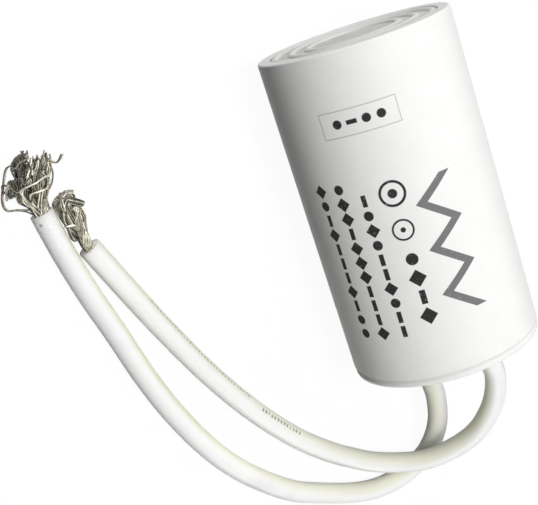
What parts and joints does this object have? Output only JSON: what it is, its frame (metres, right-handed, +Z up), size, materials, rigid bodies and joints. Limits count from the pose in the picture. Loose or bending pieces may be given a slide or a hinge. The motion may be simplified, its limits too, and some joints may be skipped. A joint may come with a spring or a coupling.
{
  "type": "motor run capacitor",
  "caption": "Round motor run capacitor in a white moulded can with a ribbed closed end, lying on its side, with insulated flying leads whose tinned strands are bare at the tips.",
  "frame": {"origin": "on the surface the can lies on, under the middle of the can", "axes": "+Y along the can towards its closed end, +Z up, the leads leave the other end and lie on the -X side"},
  "size_m": [0.071, 0.077, 0.03],
  "materials": {
    "case_plastic": "moulded, glossy",
    "cover_plastic": "moulded, glossy",
    "resin": "cast resin",
    "metallised_film": "wound film edge",
    "core_plastic": "extruded",
    "wrap_film": "clear film",
    "contact_metal": "sprayed zinc",
    "solder": "solder",
    "conductor": "tinned strands",
    "lead_insulation": "extruded, semi-gloss",
    "bare_strands": "tinned copper strands, frayed"
  },
  "bodies": {
    "root": {"case": "case_plastic", "end_cover": "cover_plastic", "potting_resin": "resin", "film_winding": "metallised_film", "winding_core": "core_plastic", "winding_wrap": "wrap_film", "front_end_spray": "contact_metal", "rear_end_spray": "contact_metal", "front_solder_joint": "solder", "rear_solder_joint": "solder", "lead_a_conductor": "conductor", "lead_b_conductor": "conductor", "lead_a_inner_sleeve": "lead_insulation", "lead_b_inner_sleeve": "lead_insulation", "lead_a": "lead_insulation", "lead_b": "lead_insulation", "lead_a_strands": "bare_strands", "lead_b_strands": "bare_strands"}
  },
  "joints": []
}
